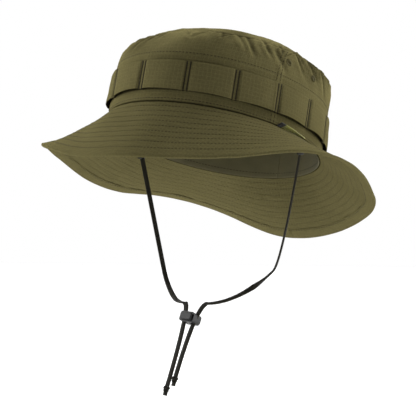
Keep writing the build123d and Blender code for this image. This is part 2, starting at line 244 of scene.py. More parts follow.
def shell_cloth():
    """Olive rip-stop: fine plain weave, a grid of thicker threads, faded blotches, worn ridges and painted
    shade.
    """
    s = Shader("shell_cloth", roughness=0.95, specular=0.0)
    across, along = s.cloth_place()
    warp, weft = s.wave(across, WEAVE_PITCH), s.wave(along, WEAVE_PITCH)
    weave = s.from_zero(s.math("MULTIPLY", warp, weft))
    grid = s.math("MAXIMUM", s.line(across, RIPSTOP_PITCH, 0.17), s.line(along, RIPSTOP_PITCH, 0.17))
    slub = s.noise(0.0012, 2.0)
    height = s.math("ADD", s.math("MULTIPLY_ADD", grid, 0.5, weave), slub)
    s.relief(height, 0.00012)
    fade = s.mix(s.noise(0.045, 4.0), OLIVE, OLIVE_LIGHT)
    gain = s.math("MULTIPLY_ADD", weave, 0.16, 0.86)
    gain = s.math("MULTIPLY_ADD", grid, 0.13, gain)
    gain = s.math("MULTIPLY_ADD", s.math("SUBTRACT", slub, 0.5), 0.5, gain)
    # The tone attribute lightens worn ridges and carries painted shade in fold valleys, seams, stitch rows,
    # by the tacks and behind the loop band.
    gain = s.math("MULTIPLY_ADD", s.attribute("tone"), 0.45, gain)
    s.colour(s.brightness(fade, gain))
    return s.material


def twill(name, colour, pitch, sheen=0.15, roughness=0.85, depth=0.0001, contrast=0.25):
    """Diagonal weave of one colour."""
    s = Shader(name, roughness=roughness, sheen=sheen, specular=0.25)
    across, along = s.cloth_place()
    rib = s.from_zero(s.wave(s.math("ADD", across, along), pitch))
    cord = s.math("MULTIPLY_ADD", s.wave(across, pitch * 0.7), 0.25, 0.25)
    s.relief(s.math("ADD", rib, cord), depth)
    gain = s.math("MULTIPLY_ADD", rib, contrast, 1 - contrast / 2)
    gain = s.math("MULTIPLY_ADD", s.math("SUBTRACT", s.noise(0.012), 0.5), 0.3, gain)
    s.colour(s.brightness(colour, gain))
    return s.material


def braid():
    """Flat braid: strands slant both ways from a ridge down its middle, edges darker."""
    s = Shader("lace", roughness=0.75, specular=0.2)
    along, across = s.cloth_place()
    from_middle = s.math("ABSOLUTE", across)
    strand = s.from_zero(s.wave(s.math("MULTIPLY_ADD", from_middle, 0.8, along), 0.0011))
    s.relief(strand, 0.0002)
    middle = s.math("SUBTRACT", 1.0, s.math("MULTIPLY", from_middle, 2 / LACE_WIDTH))
    gain = s.math("MULTIPLY", s.math("MULTIPLY_ADD", strand, 0.9, 0.35), s.math("MAXIMUM", middle, 0.25))
    fleck = s.mix(s.noise(0.004), rgb(0.050, 0.042, 0.020), rgb(0.022, 0.021, 0.012))
    s.colour(s.brightness(fleck, s.math("MULTIPLY_ADD", gain, 1.1, 0.06)))
    return s.material


def thread(name, colour):
    """Twisted sewing thread."""
    s = Shader(name, roughness=0.85, specular=0.15)
    across, along = s.cloth_place()
    ply = s.from_zero(s.wave(s.math("ADD", across, along), 0.0005))
    s.relief(ply, 0.00008)
    s.colour(s.brightness(colour, s.math("MULTIPLY_ADD", ply, 0.4, 0.7)))
    return s.material


def two_tone_tag():
    """Plain woven tag: its front end black, the rest yellow-green with darker weft lines."""
    s = Shader("side_tag", roughness=0.6, sheen=0.2)
    along, across = s.cloth_place()
    rib = s.from_zero(s.wave(across, 0.0007))
    s.relief(rib, 0.00012)
    green = s.mix(rib, rgb(0.27, 0.27, 0.035), rgb(0.46, 0.46, 0.09))
    dark = s.math("LESS_THAN", along, TAG_BLACK_LENGTH)
    s.colour(s.mix(dark, green, rgb(0.004, 0.004, 0.004)))
    return s.material


def moulded_plastic():
    """Black nylon with a fine spark-eroded grain."""
    s = Shader("lock_plastic", roughness=0.48, specular=0.35)
    grain = s.noise(0.0006, 4.0)
    s.relief(grain, 0.00006)
    s.colour(s.mix(s.noise(0.004), rgb(0.005, 0.005, 0.005), rgb(0.011, 0.011, 0.010)))
    s.feed(s.surface.inputs["Roughness"], s.math("MULTIPLY_ADD", grain, 0.25, 0.36))
    return s.material


def spring_wire():
    s = Shader("spring_steel", roughness=0.3, metallic=1.0)
    s.relief(s.noise(0.0003), 0.00002)
    s.colour(s.mix(s.noise(0.0015), rgb(0.50, 0.50, 0.51), rgb(0.66, 0.66, 0.66)))
    return s.material


SHELL = shell_cloth()
TAPE = twill("seam_tape", rgb(0.085, 0.077, 0.036), 0.0009, sheen=0.03)
THREAD = thread("thread", rgb(0.022, 0.018, 0.008))
EYELET_THREAD = thread("eyelet_thread", rgb(0.095, 0.083, 0.033))
INTERLINING = twill("interlining", rgb(0.55, 0.53, 0.45), 0.0012)
SWEATBAND = twill("sweatband_cloth", rgb(0.085, 0.076, 0.036), 0.0013, sheen=0.03, depth=0.00018,
                  contrast=0.4)
SIDE_TAG = two_tone_tag()
TAB_WEBBING = twill("tab_webbing", rgb(0.012, 0.011, 0.007), 0.0012, depth=0.0002, contrast=0.5)
LACE = braid()
PLASTIC = moulded_plastic()
STEEL = spring_wire()


# ---- surfaces in the hat's level frame ----
def wear(points):
    """From the hat's level frame to the worn frame."""
    tilt = math.radians(WEAR_TILT)
    x, y, z = points[..., 0], points[..., 1], points[..., 2]
    return np.stack([x, y * math.cos(tilt) + z * math.sin(tilt), z * math.cos(tilt) - y * math.sin(tilt)], -1)


def unit(vectors):
    return vectors / np.linalg.norm(vectors, axis=-1, keepdims=True)


def smooth_step(x, start, end):
    share = np.clip((x - start) / (end - start), 0, 1)
    return share * share * (3 - 2 * share)


def bell(x, width):
    return np.exp(-(x / width) ** 2)


def crown_point(turn, height, out=0.0):
    tuck = (height / WALL_HEIGHT) ** SHOULDER_POWER
    t = np.radians(turn)
    half_width = BASE_HALF_WIDTH - SIDE_TUCK * tuck + out
    half_length = BASE_HALF_LENGTH - (FRONT_TUCK + BACK_TUCK) / 2 * tuck + out
    shift = (FRONT_TUCK - BACK_TUCK) / 2 * tuck
    return np.stack([half_width * np.sin(t), shift - half_length * np.cos(t), height + 0 * t], -1)


def base_point(turn, height, out):
    """Point out from the wall's outer face, below the shoulder."""
    t = np.radians(turn)
    normal = unit(np.stack([np.sin(t) / BASE_HALF_WIDTH, -np.cos(t) / BASE_HALF_LENGTH, 0 * t], -1))
    seam = np.stack([BASE_HALF_WIDTH * np.sin(t), -BASE_HALF_LENGTH * np.cos(t), height + 0 * t], -1)
    return seam + normal * np.asarray(out)[..., None]


def brim_slope(turn):
    t = np.radians(turn)
    even = sum(size * np.cos((n + 1) * t) for n, size in enumerate(BRIM_EVEN_WAVES))
    odd = sum(size * np.sin((n + 1) * t) for n, size in enumerate(BRIM_ODD_WAVES))
    return BRIM_DROP + even + odd


def brim_point(turn, along, out):
    """Point at a distance along the brim from its seam, raised by out over its upper face."""
    slope = brim_slope(turn)
    flare = BRIM_FLARE + BRIM_FRONT_FLARE * np.cos(np.radians(turn))
    flare = flare + RIGHT_FLARE * bell(short_turn(turn) - RIGHT_FLARE_TURN, RIGHT_FLARE_SPREAD)
    chord = np.radians(slope + flare * (1 - along / BRIM_WIDTH))
    tangent = np.radians(slope + flare * (1 - 2 * along / BRIM_WIDTH))
    radial = along * np.cos(chord) + out * np.sin(tangent)
    return base_point(turn, -along * np.sin(chord) + out * np.cos(tangent), radial)


def flat_brim(turn, along):
    """Where a point of the brim lies in the uncut cloth."""
    return base_point(turn, 0 * along, along)[..., :2]


def lengths_along(points):
    """Distance of each point from the first, along the line through them."""
    return np.concatenate([[0], np.cumsum(np.linalg.norm(np.diff(points, axis=0), axis=1))])


ARC_TURNS = np.arange(-360, 360.5, 0.5)
ARCS = lengths_along(base_point(ARC_TURNS, 0.0, 0.0))
ROUND = ARCS[-1] / 2
ARCS = ARCS - ROUND
LOOP_PITCH = ROUND / LOOP_COUNT


def arc_at(turn):
    """Arc length of the seam oval from the front."""
    return np.interp(turn, ARC_TURNS, ARCS)


def turn_at(arc):
    return np.interp(arc, ARCS, ARC_TURNS)


def round_gap(arc, other):
    """Arc from other to arc, the short way round."""
    return (arc - other + ROUND / 2) % ROUND - ROUND / 2


def short_turn(turn):
    """The same direction as turn, from -180 to 180."""
    return turn_at(round_gap(arc_at(turn), 0))


def crown_place(turn, height):
    """Where soft random relief is looked up for a point of the crown."""
    t = np.radians(turn)
    return np.stack([BASE_HALF_WIDTH * np.sin(t), BASE_HALF_LENGTH * np.cos(t), height + 0 * t], -1)


def brim_place(turn, along, ring=2.0):
    """Where soft random relief is looked up for a point of the brim, on a ring this many brims wide."""
    t = np.radians(turn)
    return np.stack([BRIM_WIDTH * ring * np.sin(t), BRIM_WIDTH * ring * np.cos(t), along + 0 * t], -1)


def waves(points, pitch, seed, count=9):
    """Soft random relief of about unit height in space, with bumps about pitch across."""
    draw = random.Random(seed)
    total = 0
    for _ in range(count):
        heading = unit(np.array([draw.gauss(0, 1), draw.gauss(0, 1), draw.gauss(0, 1)]))
        length = pitch * draw.uniform(0.7, 1.7)
        total = total + np.sin(points @ heading * math.tau / length + draw.uniform(0, math.tau))
    return total / math.sqrt(count)


# ---- relief of the crown's cloth ----
# Height goes on past the top seam, inwards over the top panel, so that a fold crosses the seam.
PUCKER_COUNT = 46
CROWN_FOLDS = (
    # turn and height of its two ends, depth, width
    (-21, 0.055, -12, 0.069, 0.0016, 0.0026),
    (-10, 0.060, 0, 0.070, 0.0013, 0.0022),
    (-2, 0.0615, 3, 0.071, 0.0009, 0.0020),
    (12, 0.067, 18, 0.0585, 0.0010, 0.0020),
    (23, 0.067, 19, 0.059, 0.0009, 0.0019),
    (40, 0.072, 48, 0.057, 0.0014, 0.0024),
    (45, 0.070, 53, 0.054, 0.0017, 0.0023),
    (54, 0.071, 62, 0.057, 0.0014, 0.0020),
    (72, 0.076, 84, 0.055, 0.0015, 0.0024),
    (64, 0.063, 72, 0.049, 0.0012, 0.0030),
    (84, 0.072, 96, 0.058, 0.0016, 0.0028),
    (101, 0.071, 108, 0.050, 0.0016, 0.0034),
    (-22, 0.071, -27, 0.062, 0.0012, 0.0015),
    (-31, 0.071, -36, 0.061, 0.0014, 0.0016),
    (-38, 0.071, -46, 0.059, 0.0015, 0.0017),
    (-52, 0.071, -58, 0.060, 0.0012, 0.0016),
    (31, 0.071, 34, 0.062, 0.0011, 0.0014),
    (64, 0.073, 68, 0.063, 0.0011, 0.0014),
    (77, 0.073, 83, 0.062, 0.0012, 0.0014),
    (88, 0.073, 92, 0.061, 0.0013, 0.0015),
    (97, 0.072, 99, 0.060, 0.0012, 0.0015),
    (106, 0.072, 104, 0.060, 0.0011, 0.0015),
    (-66, 0.070, -74, 0.053, 0.0017, 0.0030),
    (-74, 0.074, -88, 0.055, 0.0021, 0.0034),
    (-104, 0.071, -112, 0.051, 0.0017, 0.0034),
    (138, 0.073, 146, 0.050, 0.0018, 0.0036),
    (172, 0.072, 166, 0.054, 0.0015, 0.0032),
    (-150, 0.073, -142, 0.051, 0.0018, 0.0036),
)


def draw_puckers():
    """Small gathers along the top seam: arc, lean, depth and reach of each."""
    draw = random.Random(11)
    made = []
    for i in range(PUCKER_COUNT):
        arc = ROUND * (i + draw.uniform(-0.35, 0.35)) / PUCKER_COUNT
        made.append((arc, draw.uniform(-1.0, 1.1), draw.uniform(0.3, 1.0) ** 1.5 * 1.6 * MM,
                     draw.uniform(0.004, 0.010)))
    return made


PUCKERS = draw_puckers()


def crease(across, width):
    """A valley with a ridge beside it."""
    return 0.75 * bell(across - 1.5 * width, width) - bell(across, width * 0.8)


def crown_relief(turn, height):
    arc = arc_at(turn)
    total = 0 * arc
    for place, lean, depth, reach in PUCKERS:
        across = round_gap(arc, place + lean * (height - WALL_HEIGHT))
        total = total + depth * crease(across, 1.5 * MM) * bell(height - WALL_HEIGHT, reach)
    for turn_a, height_a, turn_b, height_b, depth, width in CROWN_FOLDS:
        arc_a, arc_b = arc_at(turn_a), arc_at(turn_b)
        length = math.hypot(arc_b - arc_a, height_b - height_a)
        right, up = (arc_b - arc_a) / length, (height_b - height_a) / length
        from_start = round_gap(arc, arc_a)
        along = from_start * right + (height - height_a) * up
        across = from_start * up - (height - height_a) * right
        window = smooth_step(along, -0.3 * length, 0.2 * length)
        window = window * (1 - smooth_step(along, 0.6 * length, 1.35 * length))
        total = total + depth * crease(across, width) * window
    softness = smooth_step(height, BAND_HIGH, WALL_HEIGHT)
    place = crown_place(turn, height * 1.5)
    return total + softness * (0.9 * MM * waves(place, 0.05, 5) + 0.25 * MM * waves(place, 0.016, 6))


SEAM_LAP = 0.0062
SEAM_ALLOWANCE = 0.0022


def seam_ridge(turn):
    """Lapped side seams: the back panel's edge lies over the front panel's."""
    arc = np.abs(round_gap(arc_at(turn), 0))
    past = arc - arc_at(SIDE_SEAM_TURN)
    lapped = smooth_step(past, -0.0003, 0.0005) * (1 - smooth_step(past, SEAM_LAP, SEAM_LAP + 0.0012))
    return 0.4 * MM * lapped


def row_groove(place, row, width=0.8 * MM, depth=0.2 * MM):
    return -depth * bell(place - row, width)


SEAM_SAG, SAG_TURN, SAG_SPREAD = 2.5 * MM, -16.0, 34.0


def front_sag(turn):
    """How far the top seam sinks at the front, where nothing holds it up."""
    return SEAM_SAG * bell(short_turn(turn) - SAG_TURN, SAG_SPREAD)


def sagged(turn, height, out):
    points = crown_point(turn, height, out)
    points[..., 2] -= front_sag(turn) * smooth_step(height, BAND_HIGH, WALL_HEIGHT)
    return points


def wall_surface(turn, height):
    """Outer face of the crown wall with its folds, seams and stitched grooves."""
    out = crown_relief(turn, height) + seam_ridge(turn)
    out = out + row_groove(height, BASE_ROW_HEIGHT) + row_groove(height, BAND_ROW_HEIGHT, depth=0.07 * MM)
    out = out - 1.3 * MM * smooth_step(height, WALL_HEIGHT - 0.0032, WALL_HEIGHT) ** 2
    out = out - 1.0 * MM * (1 - smooth_step(height, -0.0002, 0.0007))
    return sagged(turn, height, out)


TOP_HALF_WIDTH = BASE_HALF_WIDTH - SIDE_TUCK
TOP_HALF_LENGTH = BASE_HALF_LENGTH - (FRONT_TUCK + BACK_TUCK) / 2
TOP_SHIFT = (FRONT_TUCK - BACK_TUCK) / 2
DOME_RADIUS = (TOP_HALF_WIDTH ** 2 + DOME_HEIGHT ** 2) / (2 * DOME_HEIGHT)
DOME_SHARE, TOP_SAG_SHARE = 0.95, 1.25              # of the full dome, and of the seam's sag


def top_surface(turn, share):
    """Top panel, from its middle at share 0 to the top seam at share 1."""
    t = np.radians(turn)
    from_rim = (1 - share) * TOP_HALF_WIDTH
    height = WALL_HEIGHT + from_rim
    relief = crown_relief(turn, height) * smooth_step(share, 0.55, 0.92)
    tucked = 0.9 * MM * bell(from_rim, 2.2 * MM)
    at_rim = smooth_step(share, 0.95, 1.0)
    outwards = relief * at_rim - tucked
    rise = DOME_HEIGHT - DOME_RADIUS + np.sqrt(DOME_RADIUS ** 2 - (share * TOP_HALF_WIDTH) ** 2)
    x = (share * TOP_HALF_WIDTH + outwards) * np.sin(t)
    y = TOP_SHIFT - (share * TOP_HALF_LENGTH + outwards) * np.cos(t)
    z = WALL_HEIGHT + AIR + rise * DOME_SHARE + relief * (1 - at_rim) - tucked * 0.8
    z = z - front_sag(turn) * TOP_SAG_SHARE * smooth_step(share, 0.15, 0.85)
    z = z + 0.5 * MM * waves(np.stack([x, y, 0 * x], -1), 0.05, 9) * smooth_step(share, 1.0, 0.85)
    return np.stack([x, y, z], -1)


# ---- relief of the brim's cloth ----
BRIM_ROWS = [FIRST_ROW + ROW_PITCH * i for i in range(STITCH_ROWS)] + [BRIM_WIDTH - HEM_WIDTH + 1 * MM]
ROW_PINCH = 0.11 * MM


def pinch(along):
    """How far the stitching draws the brim's faces in."""
    return ROW_PINCH * sum(bell(along - row, 0.75 * MM) for row in BRIM_ROWS)


def brim_waves(turn, along):
    """Slow unevenness and fine radial puckers, shared by all the brim's layers."""
    place = brim_place(turn, along)
    loose = smooth_step(along, 0, BRIM_WIDTH * 0.5)
    slow = 0.55 * MM * waves(place, 0.045, 21) * loose
    bands = 0.10 * MM * waves(place * np.array([1, 1, 6.0]), 0.011, 22)
    return slow + bands


def brim_top_surface(turn, along, below=0.0):
    """Upper face of the brim, and the face of any layer at a depth below it."""
    edge = 0.35 * MM * smooth_step(along, BRIM_WIDTH - 1.6 * MM, BRIM_WIDTH + AIR)
    seam = 1.3 * MM * (1 - smooth_step(along, 0, 1.2 * MM))
    return brim_point(turn, along, brim_waves(turn, along) - pinch(along) - edge - seam - below)


def brim_under_surface(turn, along, below=0.0):
    """Lower face of the under layer, wrinkled more than the top."""
    wrinkles = 0.30 * MM * waves(brim_place(turn, along * 0.12), 0.011, 31) * smooth_step(along, 0.004, 0.02)
    out = brim_waves(turn, along) + pinch(along) - wrinkles - 2 * LAYER - CLOTH
    return brim_point(turn, along, out - below)


# ---- mesh making ----
def link_piece(name, points, faces, flat, material, tone=None, sharp=45):
    """Object from points in the worn frame, faces, and each face corner's place in the flat cloth."""
    mesh = bpy.data.meshes.new(name)
    mesh.from_pydata(points.tolist(), [], faces)
    layer = mesh.uv_layers.new(name="cloth")
    layer.data.foreach_set("uv", np.asarray(flat, np.float32).ravel())
    if tone is not None:
        tones = mesh.attributes.new("tone", "FLOAT", "POINT")
        tones.data.foreach_set("value", np.asarray(tone, np.float32).ravel())
    mesh.materials.append(material)
    mesh.shade_smooth()
    mesh.set_sharp_from_angle(angle=math.radians(sharp))
    piece = bpy.data.objects.new(name, mesh)
    bpy.context.collection.objects.link(piece)
    return piece


def grid_faces(rows, columns, first=0, back=False):
    """Quads of a grid of points stored row by row, and each corner's (row, column)."""
    r, c = np.meshgrid(np.arange(rows - 1), np.arange(columns - 1), indexing="ij")
    corners = [(r, c), (r, c + 1), (r + 1, c + 1), (r + 1, c)]
    if back:
        corners = corners[::-1]
    index = np.stack([a * columns + b for a, b in corners], -1).reshape(-1, 4)
    return index + first


def cloth_sheet(name, outer, inner, flat, material, tone=None):
    """Closed piece of cloth between two equal grids of points in the level frame."""
    rows, columns = outer.shape[:2]
    count = rows * columns
    border = [(0, c) for c in range(columns - 1)]
    border += [(r, columns - 1) for r in range(rows - 1)]
    border += [(rows - 1, c) for c in range(columns - 1, 0, -1)]
    border += [(r, 0) for r in range(rows - 1, 0, -1)]
    edge = np.array([r * columns + c for r, c in border])
    ahead = np.roll(edge, -1)
    rim = np.stack([edge, edge + count, ahead + count, ahead], -1)
    faces = np.concatenate([grid_faces(rows, columns), grid_faces(rows, columns, count, back=True), rim])
    points = np.concatenate([outer.reshape(-1, 3), inner.reshape(-1, 3)])
    places = np.concatenate([flat.reshape(-1, 2)] * 2)
    tones = None if tone is None else np.concatenate([tone.ravel()] * 2)
    return link_piece(name, wear(points), faces.tolist(), places[faces], material, tones)


def loop_loft(name, rings, material, closed=False, in_worn_frame=False, tone=None):
    """Piece through closed outlines of the same number of points. rings has (outlines, points, 3)."""
    count, size = rings.shape[:2]
    steps = np.linalg.norm(np.diff(rings, axis=0), axis=-1).mean(1)
    along = np.concatenate([[0], np.cumsum(steps)])
    around_steps = np.linalg.norm(np.roll(rings[0], -1, axis=0) - rings[0], axis=-1)
    around = np.concatenate([[0], np.cumsum(around_steps)])
    around = around - around[size // 4]
    faces, flat = [], []
    pairs = [(i, (i + 1) % count) for i in range(count if closed else count - 1)]
    for i, k in pairs:
        u, w = along[i], along[i] + (steps[i] if i < count - 1 else steps[-1])
        for j in range(size):
            m = (j + 1) % size
            faces.append([i * size + j, k * size + j, k * size + m, i * size + m])
            flat += [(u, around[j]), (w, around[j]), (w, around[j + 1]), (u, around[j + 1])]
    if not closed:
        for i, order in ((0, range(size)), (count - 1, range(size - 1, -1, -1))):
            faces.append([i * size + j for j in order])
            flat += [(along[i], around[j]) for j in order]
    points = rings.reshape(-1, 3)
    return link_piece(name, points if in_worn_frame else wear(points), faces, flat, material, tone)


def stitch_mesh(name, runs, material):
    """Short threads along runs of (points, normals, pitch, share of the pitch covered, thread width)."""
    stations = ((-0.5, 0.35, -0.5), (-0.3, 1.0, 0.1), (0.3, 1.0, 0.1), (0.5, 0.35, -0.5))
    sides = 6
    angles = [math.tau * k / sides for k in range(sides)]
    shape = np.array([(x, size * math.cos(a), size * math.sin(a) * 0.8 + lift)
                      for x, size, lift in stations for a in angles])
    shape_faces = []
    for i in range(len(stations) - 1):
        for k in range(sides):
            m = (k + 1) % sides
            shape_faces.append([i * sides + k, i * sides + m, (i + 1) * sides + m, (i + 1) * sides + k])
    shape_faces.append(list(range(sides - 1, -1, -1)))
    shape_faces.append([(len(stations) - 1) * sides + k for k in range(sides)])
    points, faces, flat = [], [], []
    first = 0
    for line, normals, pitch, share, width in runs:
        place = lengths_along(line)
        count = max(1, int(place[-1] / pitch))
        middles = (np.arange(count) + 0.5) * place[-1] / count
        reach = place[-1] / count * share / 2

        def at(values, where):
            return np.stack([np.interp(where, place, values[:, k]) for k in range(3)], -1)

        centre, normal = at(line, middles), unit(at(normals, middles))
        direction = unit(at(line, middles + reach) - at(line, middles - reach))
        side = np.cross(normal, direction)
        body = (centre[:, None] + shape[None, :, :1] * direction[:, None] * reach * 2
                + shape[None, :, 1:2] * side[:, None] * width / 2
                + shape[None, :, 2:] * normal[:, None] * width / 2)
        points.append(body.reshape(-1, 3))
        for i in range(count):
            start = first + i * len(shape)
            for face in shape_faces:
                faces.append([start + j for j in face])
                flat += [(shape[j, 0] * reach * 2 + middles[i], shape[j, 1] * width) for j in face]
        first += count * len(shape)
    return link_piece(name, wear(np.concatenate(points)), faces, flat, material)


def spread(start, end, step):
    return np.linspace(start, end, max(2, round(abs(end - start) / step) + 1))


def turns_round(step):
    """Turns once round the hat from its back, about a step apart along the seam."""
    return turn_at(spread(-ROUND / 2, ROUND / 2, step))


def facing(points, outwards=1):
    """Unit normals of a grid of points."""
    return unit(np.cross(np.gradient(points, axis=1), np.gradient(points, axis=0))) * outwards


def settle(piece, body, slot, *nodes):
    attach(piece, body)
    if nodes:
        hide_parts(*nodes)
    return piece


# ---- chin lace ----
def lock_axes():
    """Directions of the lock: sideways, to the throat and up the tails."""
    up = -TAIL_DIRECTION
    sideways = (Vector((1, 0, 0)) - up * up.x).normalized()
    return sideways, up.cross(sideways), up


def tail_point(side, down):
    sideways, _, up = lock_axes()
    return LOCK_CENTRE + sideways * side * LACE_SPACING / 2 - up * down


LACE_START = -0.0015


def lace_route(side, tail):
    """Down the cheek, in under the jaw, through the lock and down. It starts inside the folded tab."""
    pivot = Vector((side * TAB_PIVOT[0], TAB_PIVOT[1], TAB_PIVOT[2]))
    cheek = [Vector((side * x, y, z)) for x, y, z in CHEEK_POINTS]
    down_cheek = (cheek[0] - pivot).normalized()
    return [pivot + down_cheek * LACE_START, *cheek, tail_point(side, -LACE_ENTRY), tail_point(side, tail)]


def curve_points(route, closed=False):
    """Points along the smooth spline through whose control points the route goes."""
    data = bpy.data.curves.new("route", "CURVE")
    data.dimensions = "3D"
    data.resolution_u = 48
    spline = data.splines.new("NURBS")
    spline.points.add(len(route) - 1)
    for point, place in zip(spline.points, route):
        point.co = (*place, 1)
    spline.order_u = 3
    spline.use_endpoint_u = not closed
    spline.use_cyclic_u = closed
    holder = bpy.data.objects.new("route", data)
    mesh = bpy.data.meshes.new_from_object(holder)
    points = np.array([v.co[:] for v in mesh.vertices])
    bpy.data.objects.remove(holder)
    bpy.data.curves.remove(data)
    bpy.data.meshes.remove(mesh)
    return points


def flat_section(width, thickness, corners=5):
    """Rounded outline of a flat lace, with a slight ridge down the middle of each face."""
    outline = []
    half_flat, edge = (width - thickness) / 2, thickness / 2
    for end in (1, -1):
        for i in range(corners):
            angle = end * math.pi / 2 - math.pi * i / (corners - 1)
            outline.append((end * half_flat + edge * math.cos(angle), edge * math.sin(angle)))
        outline.append((0, -end * thickness * 0.58))
    return np.array(outline)


def lace_rings(points, start_side, end_side, squeeze):
    """Sections of the lace. Its width turns from one direction to the other on the way down."""
    tangents = unit(np.gradient(points, axis=0))
    down = lengths_along(points)
    turn = smooth_step(down / down[-1], 0.42, 0.62)[:, None]
    side = unit(np.array(start_side) * (1 - turn) + np.array(end_side) * turn)
    side = unit(side - tangents * (side * tangents).sum(-1, keepdims=True))
    face = np.cross(tangents, side)
    narrow = squeeze(points)[:, None, None]
    section = flat_section(LACE_WIDTH, LACE_THICKNESS)
    return (points[:, None] + side[:, None] * section[None, :, :1] * narrow
            + face[:, None] * section[None, :, 1:] / narrow)


def lock_squeeze(points):
    """The lace is a little narrower where it goes through the lock."""
    away = np.linalg.norm(points - np.array(LOCK_CENTRE), axis=1)
    return 1 - 0.16 * (1 - smooth_step(away, 0.005, 0.011))


def knot_mesh(name, side, tail):
    """Overhand knot tied in the lace's end, with the short cut end below it."""
    sideways, back, up = lock_axes()
    middle = tail_point(side, tail)
    steps = 60
    strand = KNOT_RADIUS * 0.36
    size = (KNOT_RADIUS - strand) / 3
    middle_line = []
    for i in range(steps):
        t = math.tau * i / steps
        across = math.sin(t) + 2 * math.sin(2 * t)
        through = -math.sin(3 * t) * 1.3
        lengthways = math.cos(t) - 2 * math.cos(2 * t)
        middle_line.append(middle + (sideways * across + back * through + up * lengthways) * size)
    line = np.array(middle_line)
    tangents = unit(np.roll(line, -1, axis=0) - np.roll(line, 1, axis=0))
    outwards = unit(line - np.array(middle))
    side_way = unit(np.cross(tangents, outwards))
    face = np.cross(side_way, tangents)
    section = flat_section(strand * 2.3, strand * 1.35)
    rings = line[:, None] + side_way[:, None] * section[None, :, :1] + face[:, None] * section[None, :, 1:]
    knot = loop_loft(name, rings, LACE, closed=True, in_worn_frame=True)
    cut_end = middle - up * (KNOT_RADIUS + 0.0022) + back * 0.0006
    end_route = [middle + up * 0.002, middle - up * 0.002, cut_end]
    end_points = curve_points(end_route)[::4]
    end_rings = lace_rings(end_points, sideways, sideways, lambda points: 1 - 0.1 * np.ones(len(points)))
    stub = loop_loft(name + "_end", end_rings, LACE, in_worn_frame=True)
    return join_pieces(knot, stub)


def join_pieces(first, *others):
    together = [first, *others]
    with bpy.context.temp_override(active_object=first, object=first, selected_editable_objects=together,
                                   selected_objects=together):
        bpy.ops.object.join()
    return first


def add_laces():
    sideways = lock_axes()[0]
    for side, tail, word in ((1, LEFT_TAIL, "left"), (-1, RIGHT_TAIL, "right")):
        points = curve_points(lace_route(side, tail))[::2]
        rings = lace_rings(points, (-0.45 * side, 1, 0), sideways, lock_squeeze)
        lace = loop_loft(f"lace_{word}", rings, LACE, in_worn_frame=True)
        knot = knot_mesh(f"knot_{word}", side, tail)
        settle(lace, "chin_lace", "lace", f"chin_lace_{word}")
        settle(knot, "chin_lace", "lace", f"lace_knot_{word}")


add_laces()


# ---- crown ----
TURN_STEP = 1.1 * MM


def fold_wear_and_painted_shade(relief):
    """Ridges are lighter, as worn; the valleys of the folds are darkened with painted shade."""
    return np.clip(relief / (1.2 * MM), -1.0, 0.7)


def wall_panel(name, node, first_turn, last_turn):
    turns = turn_at(spread(arc_at(first_turn), arc_at(last_turn), TURN_STEP))
    stations = (-SEAM_ALLOWANCE, 0.012, 0.040, WALL_HEIGHT - 0.003, WALL_HEIGHT)
    steps = (0.45 * MM, 1.4 * MM, 0.8 * MM, 0.4 * MM)
    heights = [spread(*ends)[:-1] for ends in zip(stations, stations[1:], steps)]
    heights = np.concatenate([*heights, [WALL_HEIGHT]])
    turn, height = np.meshgrid(turns, heights)
    outer = wall_surface(turn, height)
    inner = outer - facing(outer) * CLOTH
    flat = np.stack([arc_at(turn), height], -1)
    # Painted shade along the fold at the top seam, a painted shadow on the wall behind the loop band and a
    # painted shadow line at the brim seam.
    tone = fold_wear_and_painted_shade(crown_relief(turn, height)) - 1.3 * bell(height - WALL_HEIGHT, 0.8 * MM)
    band_shadow_mask = smooth_step(height, BAND_LOW - 0.3 * MM, BAND_LOW + 0.4 * MM)
    band_shadow_mask = band_shadow_mask * (1 - smooth_step(height, BAND_HIGH - 3 * MM, BAND_HIGH - 1.5 * MM))
    tone = tone - 1.6 * (1 - smooth_step(height, 0.2 * MM, 0.9 * MM)) - 1.7 * band_shadow_mask
    wall = cloth_sheet(name, outer, inner, flat, SHELL, tone)
    return settle(wall, "hat", "shell_cloth", node)


def cut_holes(piece, places, radius):
    """Round holes through a wall panel at (turn, height) places."""
    for turn, height in places:
        middle = wall_surface(np.array(turn), np.array(height))
        outwards = Vector(wear(base_point(np.array(turn), 0.0, 0.01) - base_point(np.array(turn), 0.0, 0.0)))
        bpy.ops.mesh.primitive_cylinder_add(vertices=24, radius=radius, depth=0.012, location=wear(middle))
        cutter = bpy.context.object
        cutter.rotation_euler = outwards.to_track_quat("Z", "Y").to_euler()
        cut = piece.modifiers.new("cut", "BOOLEAN")
        cut.object = cutter
        bpy.context.view_layer.update()
        with bpy.context.temp_override(object=piece, active_object=piece):
            bpy.ops.object.modifier_apply(modifier=cut.name)
        bpy.data.objects.remove(cutter)


EYELET_RADIUS, EYELET_HOLE = 3.1 * MM, 1.1 * MM


